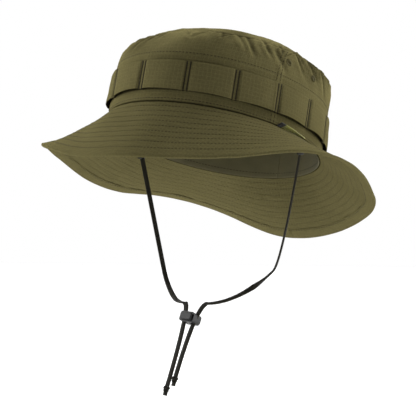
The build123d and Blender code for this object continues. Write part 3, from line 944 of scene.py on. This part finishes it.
def add_eyelets():
    """Embroidered vents: satin stitches laid round each hole, on both faces of the cloth."""
    rings = []
    stitches = 30
    for side in (1, -1):
        for turn, height in EYELETS:
            centre = wall_surface(np.array(side * turn), np.array(height))
            right = wall_surface(np.array(side * turn + 1.5), np.array(height)) - centre
            above = wall_surface(np.array(side * turn), np.array(height + 0.002)) - centre
            right = unit(right)
            out = unit(np.cross(right, above))
            above = np.cross(out, right)
            around = np.linspace(0, math.tau, stitches * 6, endpoint=False)
            tube = np.linspace(0, math.tau, 14, endpoint=False)
            a, b = np.meshgrid(around, tube, indexing="ij")
            thick = (EYELET_RADIUS - EYELET_HOLE) / 2 * (1 + 0.10 * np.cos(stitches * a))
            reach = (EYELET_RADIUS + EYELET_HOLE) / 2 + thick * np.cos(b)
            lift = (0.55 * MM + CLOTH / 2) * np.sin(b) * (1 + 0.10 * np.cos(stitches * a)) - CLOTH / 2
            ring = (centre + (reach * np.cos(a))[..., None] * right + (reach * np.sin(a))[..., None] * above
                    + lift[..., None] * out)
            rings.append(ring)
    made = [loop_loft("vent_eyelets_cloth" if i == 0 else f"vent_{i}", ring, EYELET_THREAD, closed=True)
            for i, ring in enumerate(rings)]
    settle(join_pieces(*made), "hat", "thread", "vent_eyelets")


def add_crown_top():
    shares = np.concatenate([spread(0.012, 0.80, 0.02), spread(0.81, 0.96, 0.01), spread(0.965, 1.0, 0.005)])
    turns = turns_round(1.5 * MM)
    turn, share = np.meshgrid(turns, shares)
    outer = top_surface(turn, share)
    inner = outer + facing(outer) * CLOTH
    height = WALL_HEIGHT + (1 - share) * TOP_HALF_WIDTH
    # The top panel gets the folds' wear and painted shade, and a line of painted shade along the top seam.
    tone = fold_wear_and_painted_shade(crown_relief(turn, height)) * smooth_step(share, 0.55, 0.92) - bell(1 - share, 0.009)
    top = disc_sheet("crown_top_cloth", outer, inner, SHELL, tone)
    settle(top, "hat", "shell_cloth", "crown_top")


def disc_sheet(name, outer, inner, material, tone):
    """Closed disc of cloth. The first row of points is a small circle round its middle."""
    rows, columns = outer.shape[0], outer.shape[1] - 1
    upper, lower = outer[:, :-1], inner[:, :-1]
    count = rows * columns + 1
    halves = [(face.reshape(-1, 3), face[:1].mean(1)) for face in (upper, lower)]
    points = np.concatenate([*halves[0], *halves[1]])
    faces = []
    for r in range(rows - 1):
        for c in range(columns):
            d = (c + 1) % columns
            low, high = r * columns, (r + 1) * columns
            faces.append([low + c, high + c, high + d, low + d])
            faces.append([count + low + c, count + low + d, count + high + d, count + high + c])
    for c in range(columns):
        d = (c + 1) % columns
        last = (rows - 1) * columns
        faces.append([rows * columns, c, d])
        faces.append([count + rows * columns, count + d, count + c])
        faces.append([last + c, count + last + c, count + last + d, last + d])
    tones = np.concatenate([tone[:, :-1].ravel(), tone[0, :1]] * 2)
    flat = [points[i, :2] for face in faces for i in face]
    return link_piece(name, wear(points), faces, np.array(flat), material, tones)


def tape_ring(name, nodes, slot, material, inset, thickness, low, high, turns=(-180, 180), wave=0.0):
    """Strip inside the crown that follows the wall between two heights."""
    first_arc, last_arc = arc_at(turns[0]), arc_at(turns[1])
    turn, height = np.meshgrid(turn_at(spread(first_arc, last_arc, TURN_STEP)), spread(low, high, 1.0 * MM))
    place = crown_place(turn, height)
    rise = wave * waves(place * np.array([1, 1, 0]), 0.04, 41)
    lean = wave * waves(place, 0.035, 42)
    share = (height - low) / (high - low)
    out = crown_relief(turn, height) - inset + np.minimum(lean, 0) * share
    outer = sagged(turn, height + rise * share, out)
    edge = thickness * 0.35 * (bell(height - low, 0.8 * MM) + bell(height - high, 0.8 * MM))
    inner = outer - facing(outer) * (thickness - edge)[..., None]
    flat = np.stack([arc_at(turn), height], -1)
    tape = cloth_sheet(name, outer, inner, flat, material)
    return settle(tape, "hat", slot, *nodes)


# ---- loop band ----
def from_tack(arc):
    """Arc from the middle of the nearest tack."""
    return np.abs((arc - FRONT_TACK + LOOP_PITCH / 2) % LOOP_PITCH - LOOP_PITCH / 2)


def loop_stand(arc):
    """Share of its full height at which the band stands off the wall: 0 between a tack's two rows."""
    gap = from_tack(arc)
    sharp_rise = smooth_step(gap, TACK_GAP / 2 + 0.2 * MM, TACK_GAP / 2 + 2.6 * MM)
    belly = np.sin(math.pi * np.clip(gap / LOOP_PITCH, 0, 0.5))
    return 0.5 * sharp_rise + 0.5 * belly * sharp_rise


FACE_POINTS, FOLD_ANGLES = 11, (60, 20, -20, -60)
BAND_FRONT = FACE_POINTS + len(FOLD_ANGLES)          # points on the outer face and over the upper fold
BAND_OUTLINE = 2 * BAND_FRONT
LAST_TACK_LAP = 1.15 * BAND_THICKNESS


def band_outline(arc, lap=0.0):
    """Closed outline of the band: up its outer face, over its folded edge and down its inner face."""
    turn = turn_at(arc)
    stand = loop_stand(arc)
    place = crown_place(turn, 0.0)
    low = BAND_LOW + 0.35 * MM * float(waves(place, 0.05, 51))
    high = BAND_HIGH + 0.35 * MM * float(waves(place, 0.045, 52))
    face = [(share, low + (high - low) * (0.02 + 0.96 * share)) for share in np.linspace(0, 1, FACE_POINTS)]
    fold = [(BAND_THICKNESS / 2 * (math.cos(a) - 0.9), BAND_THICKNESS / 2 * (1 + math.sin(a)))
            for a in map(math.radians, FOLD_ANGLES)]
    outline = [(height, BAND_THICKNESS * (0.92 + 0.12 * bell(share - 0.5, 0.5))) for share, height in face]
    outline += [(high + past, out) for past, out in fold]
    outline += [(height, 0.0) for _, height in face[::-1]]
    outline += [(low - past, out) for past, out in fold[::-1]]
    points = []
    for height, out in outline:
        share = (height - BAND_LOW) / (BAND_HIGH - BAND_LOW)
        reach = AIR * 2 + (LOOP_STAND_LOW + (LOOP_STAND_HIGH - LOOP_STAND_LOW) * share) * stand
        sag = 0.25 * MM * float(waves(place + np.array([0, 0, height]), 0.02, 53)) * stand
        ridge = float(seam_ridge(turn))
        points.append(base_point(np.array(turn), height, reach + sag + out + lap + ridge))
    return np.array(points)


def band_painted_shade(arc):
    """Painted shade beside the two rows of each tack, where the band dips to the wall, and on its inner face
    and folded lower edge.
    """
    tone = np.full(BAND_OUTLINE, -1.2 * bell(from_tack(arc) - TACK_GAP / 2 - 0.3 * MM, 0.7 * MM))
    tone[BAND_FRONT:] -= 1.4
    return tone


def add_loop_band():
    start = FRONT_TACK - (LOOP_COUNT // 2) * LOOP_PITCH
    overlap = 0.005
    offsets = [gap * MM for gap in (0, 0.6, 1.2, 1.7, 2.0, 2.5, 3.0, 3.6, 4.3, 5.2, 6.4, 8, 10, 12.5, 15.5)]
    arcs = []
    for i in range(LOOP_COUNT):
        tack = start + i * LOOP_PITCH
        arcs += [tack + offset for offset in offsets] + [tack + LOOP_PITCH * 0.5]
        arcs += [tack + LOOP_PITCH - offset for offset in offsets[:0:-1]]
    arcs += [start + ROUND, start + ROUND + overlap * 0.5, start + ROUND + overlap]
    rings = []
    for arc in arcs:
        past = smooth_step(arc, start + ROUND - 0.004, start + ROUND - 0.001)
        rings.append(band_outline(arc, lap=LAST_TACK_LAP * past))
    # Painted shade of the band at each of its outlines.
    tones = np.array([band_painted_shade(arc) for arc in arcs])
    band = loop_loft("loop_band_cloth", np.array(rings), SHELL, tone=tones)
    settle(band, "hat", "shell_cloth", "loop_band")


def add_bartacks():
    """Dense cross stitches in two rows down the band at each tack."""
    runs = []
    for i in range(LOOP_COUNT):
        for side in (-0.5, 0.5):
            arc = FRONT_TACK + (i - LOOP_COUNT // 2) * LOOP_PITCH + side * TACK_GAP
            turn = turn_at(arc)
            heights = spread(BAND_LOW + 0.6 * MM, BAND_HIGH - 0.6 * MM, 0.95 * MM)
            lap = LAST_TACK_LAP if i == 0 else 0
            out = AIR * 2 + BAND_THICKNESS + float(seam_ridge(turn)) + lap
            for k, height in enumerate(heights):
                lean = 0.25 * MM * (1 if k % 2 else -1)
                ends = turn_at(np.array([arc - 0.6 * MM, arc, arc + 0.6 * MM]))
                line = base_point(ends, height + np.array([-lean, 0, lean]), out + 0 * ends)
                normals = base_point(ends, 0.0, 0.01 + 0 * ends) - base_point(ends, 0.0, 0 * ends)
                runs.append((line, normals, 1.2 * MM, 1.0, 0.85 * MM))
    settle(stitch_mesh("loop_bartacks_thread", runs, THREAD), "hat", "thread", "loop_bartacks")


# ---- stitching along the crown ----
STITCH_PITCH, STITCH_SHARE, STITCH_WIDTH = 2.9 * MM, 0.66, 0.52 * MM


NEXT_TURN, NEXT_PLACE = 0.2, 0.3 * MM


def stitch_run(surface, turns, places, outwards=1, width=STITCH_WIDTH):
    """Stitches along a surface through turns and its second coordinate, given as arrays."""
    line = surface(turns, places)
    ahead = surface(turns + NEXT_TURN, places) - line
    across = surface(turns, places + NEXT_PLACE) - line
    return line, unit(np.cross(ahead, across)) * outwards, STITCH_PITCH, STITCH_SHARE, width


def add_wall_stitching():
    turns = turns_round(1.0 * MM)
    base = [stitch_run(wall_surface, turns, 0 * turns + BASE_ROW_HEIGHT)]
    upper = [stitch_run(wall_surface, turns, 0 * turns + BAND_ROW_HEIGHT)]
    for side in (1, -1):
        seam_arc = float(arc_at(SIDE_SEAM_TURN))
        for inset in (1.3 * MM, SEAM_LAP - 1.2 * MM):
            turn = side * float(turn_at(seam_arc + inset))
            for low, high, runs in ((BAND_HIGH + 2 * MM, WALL_HEIGHT - 2 * MM, upper),
                                    (0.8 * MM, BAND_LOW - 0.8 * MM, base)):
                heights = spread(low, high, 0.8 * MM)
                runs.append(stitch_run(wall_surface, 0 * heights + turn, heights))
    settle(stitch_mesh("base_stitching_thread", base, THREAD), "hat", "thread", "base_stitching")
    settle(stitch_mesh("wall_stitching_thread", upper, THREAD), "hat", "thread", "wall_stitching")


# ---- brim ----
def brim_panel(name, node, first_turn, last_turn, surface, thickness, inwards):
    """Half of a cloth layer of the brim. inwards is the side on which its thickness lies, 1 down, -1 up."""
    columns = round((last_turn - first_turn) / 0.62)
    turns = np.linspace(first_turn, last_turn, columns + 1)
    alongs = spread(-0.5 * MM, BRIM_WIDTH, 0.72 * MM)
    turn, along = np.meshgrid(turns, alongs)
    outer = surface(turn, along)
    inner = surface(turn, along, thickness * inwards)
    # Painted shade along the stitch rows and a painted shadow line at the brim seam; the cloth is also
    # lighter towards its outer edge.
    tone = -0.12 * pinch(along) / ROW_PINCH - 1.8 * (1 - smooth_step(along, 0.7 * MM, 1.5 * MM))
    tone = tone + 0.3 * smooth_step(along, BRIM_WIDTH - 1.5 * MM, BRIM_WIDTH)
    flat = flat_brim(turn, along)
    sheet = cloth_sheet(name, outer, inner, flat, SHELL, tone)
    return settle(sheet, "hat", "shell_cloth", node)


def add_brim():
    split = BRIM_SPLIT_TURN
    for word, first, last in (("front", -split, split), ("back", split, 360 - split)):
        for layer, surface, inwards in (("top", brim_top_surface, 1), ("under", brim_under_surface, -1)):
            node = f"brim_{layer}_{word}"
            brim_panel(f"{node}_cloth", node, first, last, surface, CLOTH, inwards)
    turn, along = np.meshgrid(np.linspace(-180, 180, 240), spread(0.0022, BRIM_WIDTH - 1.2 * MM, 3 * MM))
    upper = brim_point(turn, along, brim_waves(turn, along) - LAYER)
    lower = brim_point(turn, along, brim_waves(turn, along) - LAYER - CLOTH * 0.6)
    flat = flat_brim(turn, along)
    core = cloth_sheet("brim_core", upper, lower, flat, INTERLINING)
    settle(core, "hat", "interlining", "brim_interlining")


HEM_HALF = (3 * LAYER + AIR) / 2 + 0.25 * MM         # half the hem's thickness
HEM_EDGE = BRIM_WIDTH - 0.9 * MM                     # middle of its round edge


def hem_outline(turn):
    """Closed outline of the turned edge: round the brim's edge, back under it and folded in."""
    half, middle = HEM_HALF, 0.1 * MM - HEM_HALF
    place = []
    for angle in range(80, -91, -17):
        a = math.radians(angle)
        place.append((HEM_EDGE + half * math.cos(a), middle + half * math.sin(a)))
    low = middle - half
    for share in (0.15, 0.35, 0.55, 0.75, 0.88):
        place.append((BRIM_WIDTH - HEM_WIDTH * share, low + 0.1 * MM))
    place.append((BRIM_WIDTH - HEM_WIDTH + 0.3 * MM, low))
    place.append((BRIM_WIDTH - HEM_WIDTH - 0.2 * MM, low + 0.35 * MM))
    place.append((BRIM_WIDTH - HEM_WIDTH, low + 0.75 * MM))
    for share in (0.75, 0.5, 0.25):
        place.append((BRIM_WIDTH - HEM_WIDTH * share, low + 0.75 * MM))
    inner = half - CLOTH
    for angle in range(-80, 81, 32):
        a = math.radians(angle)
        place.append((HEM_EDGE + inner * math.cos(a), middle + inner * math.sin(a)))
    along, out = np.array(place).T
    turns = turn + 0 * along
    puckers = 0.16 * MM * waves(brim_place(turns, along * 0.5, 2.4), 0.007, 61)
    puckers = puckers * (1 - smooth_step(along, BRIM_WIDTH - 2 * MM, BRIM_WIDTH))
    drawn_in = 0.3 * MM * bell(along - BRIM_ROWS[-1], 1.0 * MM)
    out = out + np.where(out < middle, drawn_in - puckers, 0)
    return brim_point(turns, along, out + brim_waves(turns, np.minimum(along, BRIM_WIDTH)))


def add_hem():
    turns = np.linspace(-179.95, 179.95, 560)
    rings = np.array([hem_outline(turn) for turn in turns])
    hem = loop_loft("brim_hem_cloth", rings, SHELL, tone=0.12 + np.zeros(rings.shape[:2]))
    settle(hem, "hat", "shell_cloth", "brim_hem")


UNDER_STITCH_WIDTH = 0.3 * MM


def brim_run(along, surface, outwards, width=STITCH_WIDTH):
    turns = np.linspace(-180, 180, 721)
    return stitch_run(surface, turns, along + 0 * turns, -outwards, width)


def hem_under_surface(turn, along):
    return brim_point(turn, along, brim_waves(turn, along) - 2 * HEM_HALF + 0.4 * MM)


def add_brim_stitching():
    runs = [brim_run(row, brim_top_surface, 1) for row in BRIM_ROWS]
    runs += [brim_run(row, brim_under_surface, -1, UNDER_STITCH_WIDTH) for row in BRIM_ROWS[:-1]]
    runs.append(brim_run(BRIM_ROWS[-1], hem_under_surface, -1))
    settle(stitch_mesh("brim_stitching_thread", runs, THREAD), "hat", "thread", "brim_stitching")


# ---- tags, sweatband and tabs ----
def add_side_tag():
    """Woven tag folded in two and caught in the brim seam, with its folded edge standing off the brim."""
    turns = spread(*SIDE_TAG_TURNS, 0.5)
    leaf = 0.35 * MM
    profile = [(share, 0.9 * leaf) for share in np.linspace(0, 0.93, 7)]
    profile += [(0.98, 0.6 * leaf), (1.0, 0.0), (0.98, -0.6 * leaf)]
    profile += [(share, -0.9 * leaf) for share in np.linspace(0.93, 0, 7)]
    share, face = np.array(profile).T
    rings = []
    for turn in turns:
        back = (turn - turns[0]) / (turns[-1] - turns[0])
        lean = math.radians(TAG_FRONT_LEAN + (TAG_BACK_LEAN - TAG_FRONT_LEAN) * back)
        width = SIDE_TAG_WIDTH * (TAG_FRONT_SHARE + (TAG_BACK_SHARE - TAG_FRONT_SHARE) * back)
        along = share * width * math.cos(lean) - face * math.sin(lean)
        out = share * width * math.sin(lean) + face * math.cos(lean) + 0.15 * MM
        rings.append(brim_point(turn + 0 * along, along, out + brim_waves(turn + 0 * along, along)))
    tag = loop_loft("side_tag_cloth", np.array(rings), SIDE_TAG)
    settle(tag, "hat", "side_tag", "side_tag")


TAPE_INSET, TAPE_THICKNESS = LAYER + 2 * AIR, CLOTH * 1.6
SWEATBAND_INSET = LAYER * 1.6
TAPE_HALF_TURN = 2.8


def add_inside():
    """Seam tapes, then the sweatband with a row of stitches near each of its edges."""
    tape_ring("top_tape_cloth", ["top_seam_tape"], "seam_tape", TAPE, TAPE_INSET, TAPE_THICKNESS,
              WALL_HEIGHT - SEAM_TAPE_HEIGHT, WALL_HEIGHT - 1.6 * MM, wave=0.4 * MM)
    low, high = SWEATBAND_HEIGHT - 1 * MM, WALL_HEIGHT - SEAM_TAPE_HEIGHT + 1 * MM
    tapes = []
    for side in (1, -1):
        turns = (side * SIDE_SEAM_TURN - TAPE_HALF_TURN, side * SIDE_SEAM_TURN + TAPE_HALF_TURN)
        tapes.append(tape_ring(f"side_tapes_{side + 1}", [], "seam_tape", TAPE, TAPE_INSET, TAPE_THICKNESS,
                               low, high, turns=turns))
    joined = join_pieces(*tapes)
    joined.name = "side_tapes_cloth"
    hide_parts("side_seam_tapes")
    tape_ring("sweatband_cloth", ["sweatband"], "sweatband_cloth", SWEATBAND, SWEATBAND_INSET,
              SWEATBAND_THICKNESS, -1.9 * MM, SWEATBAND_HEIGHT, turns=(-179.9, 179.9), wave=0.7 * MM)
    inset = SWEATBAND_INSET + SWEATBAND_THICKNESS + 0.05 * MM
    turns = turns_round(1.0 * MM)
    runs = []
    for height in (2.5 * MM, SWEATBAND_HEIGHT - 3 * MM):
        line = crown_point(turns, 0 * turns + height, -inset)
        normals = base_point(turns, 0.0, 0 * turns) - base_point(turns, 0.0, 0 * turns + 0.01)
        runs.append((line, normals, STITCH_PITCH, STITCH_SHARE, STITCH_WIDTH))
    settle(stitch_mesh("sweatband_thread", runs, THREAD), "hat", "thread", "sweatband_stitching")


def add_tabs():
    """Webbing folded into a loop under the brim seam, its two ends sewn into the seam."""
    leaf, gap = 0.8 * MM, 1.0 * MM
    for side, word in ((1, "left"), (-1, "right")):
        x, y, z = side * TAB_PIVOT[0], TAB_PIVOT[1], TAB_PIVOT[2]
        bottom = z - TAB_WIDTH / 2 + gap + leaf
        middle_line = [(gap, z + TAB_LENGTH), (gap, z + TAB_LENGTH / 2), (gap, z)]
        middle_line += [(gap * math.cos(a), bottom - gap * math.sin(a)) for a in np.linspace(0, math.pi, 9)]
        middle_line += [(-gap, z), (-gap, z + TAB_LENGTH / 2), (-gap, z + TAB_LENGTH)]
        rings = []
        for i, (across, height) in enumerate(middle_line):
            before = middle_line[max(i - 1, 0)]
            after = middle_line[min(i + 1, len(middle_line) - 1)]
            run = Vector((after[0] - before[0], after[1] - before[1])).normalized()
            outline = []
            for wide, thick in ((-1, -0.6), (-1, 0.6), (-0.85, 1), (0, 1.06), (0.85, 1), (1, 0.6), (1, -0.6),
                                (0.85, -1), (0, -1.06), (-0.85, -1)):
                reach = thick * leaf / 2
                outline.append((x + across + run[1] * reach, y + wide * TAB_WIDTH / 2,
                                height - run[0] * reach))
            rings.append(outline)
        tab = loop_loft(f"lace_tab_{word}_webbing", np.array(rings), TAB_WEBBING, in_worn_frame=True)
        settle(tab, "hat", "tab_webbing", f"lace_tab_{word}")


def finish_lock():
    """Materials of the lock, and a mesh of its own for the spring, which in the real lock shortens as the
    button goes in.
    """
    for name, material in (("lock_barrel", PLASTIC), ("lock_plunger", PLASTIC), ("lock_spring", STEEL)):
        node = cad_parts[name]
        node.data.materials.clear()
        node.data.materials.append(material)
    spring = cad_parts["lock_spring"]
    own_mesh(spring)


wall_panel("crown_wall_front_cloth", "crown_wall_front", -SIDE_SEAM_TURN, SIDE_SEAM_TURN)
back_wall = wall_panel("crown_wall_back_cloth", "crown_wall_back", SIDE_SEAM_TURN, 360 - SIDE_SEAM_TURN)
eyelet_places = [(side * turn, height) for side in (1, -1) for turn, height in EYELETS]
cut_holes(back_wall, eyelet_places, EYELET_HOLE * 1.1)
add_eyelets()
add_crown_top()
add_loop_band()
add_bartacks()
add_wall_stitching()
add_brim()
add_hem()
add_brim_stitching()
add_side_tag()
add_inside()
add_tabs()
finish_lock()


# ---- floor and light ----
def add_floor():
    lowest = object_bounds()[0].z
    bpy.ops.mesh.primitive_plane_add(size=12, location=(0, 0, lowest - 0.004))
    floor = bpy.context.object
    floor.name = "floor"
    s = Shader("floor", roughness=0.9)
    s.colour(rgb(0.80, 0.80, 0.80))
    floor.data.materials.append(s.material)


def add_light(name, azimuth, elevation, distance, size, power):
    """Soft square lamp that looks at the hat."""
    data = bpy.data.lights.new(name, "AREA")
    data.shape = "SQUARE"
    data.size = size
    data.energy = power
    lamp = bpy.data.objects.new(name, data)
    lamp.location = direction(azimuth, elevation) * distance
    lamp.rotation_euler = (-lamp.location).to_track_quat("-Z", "Y").to_euler()
    bpy.context.collection.objects.link(lamp)


BACK_LIGHT, FRONT_LIGHT = 2.5, 0.12
FADE_START, FADE_END = -0.25, 0.32                   # cosine of the angle from the camera's direction


def add_world():
    """White surroundings, lit from behind and from the sides as in a studio with a white backdrop."""
    world = bpy.data.worlds.new("studio")
    world.use_nodes = True
    tree = world.node_tree
    background = tree.nodes["Background"]
    background.inputs["Color"].default_value = rgb(1, 1, 1)
    place = tree.nodes.new("ShaderNodeTexCoord")
    toward = tree.nodes.new("ShaderNodeVectorMath")
    toward.operation = "DOT_PRODUCT"
    toward.inputs[1].default_value = bpy.context.scene.camera.location.normalized()
    tree.links.new(place.outputs["Generated"], toward.inputs[0])
    light = tree.nodes.new("ShaderNodeMapRange")
    light.interpolation_type = "SMOOTHSTEP"
    ends = {"From Min": FADE_START, "From Max": FADE_END, "To Min": BACK_LIGHT, "To Max": FRONT_LIGHT}
    for name, value in ends.items():
        light.inputs[name].default_value = value
    tree.links.new(toward.outputs["Value"], light.inputs["Value"])
    seen = tree.nodes.new("ShaderNodeLightPath")
    strength = tree.nodes.new("ShaderNodeMix")
    strength.inputs["B"].default_value = 1.0
    tree.links.new(seen.outputs["Is Camera Ray"], strength.inputs["Factor"])
    tree.links.new(light.outputs["Result"], strength.inputs["A"])
    tree.links.new(strength.outputs["Result"], background.inputs["Strength"])
    bpy.context.scene.world = world
    bpy.context.scene.view_settings.view_transform = "Standard"


add_floor()
add_world()
add_light("top", VIEW_AZIMUTH + 160, 50, 1.3, 0.9, 11)
add_light("left_side", VIEW_AZIMUTH - 102, 22, 1.2, 0.8, 15)
add_light("right_side", VIEW_AZIMUTH + 104, 28, 1.2, 0.8, 12)
add_light("low_right", VIEW_AZIMUTH + 70, -4, 1.2, 0.4, 0.8)
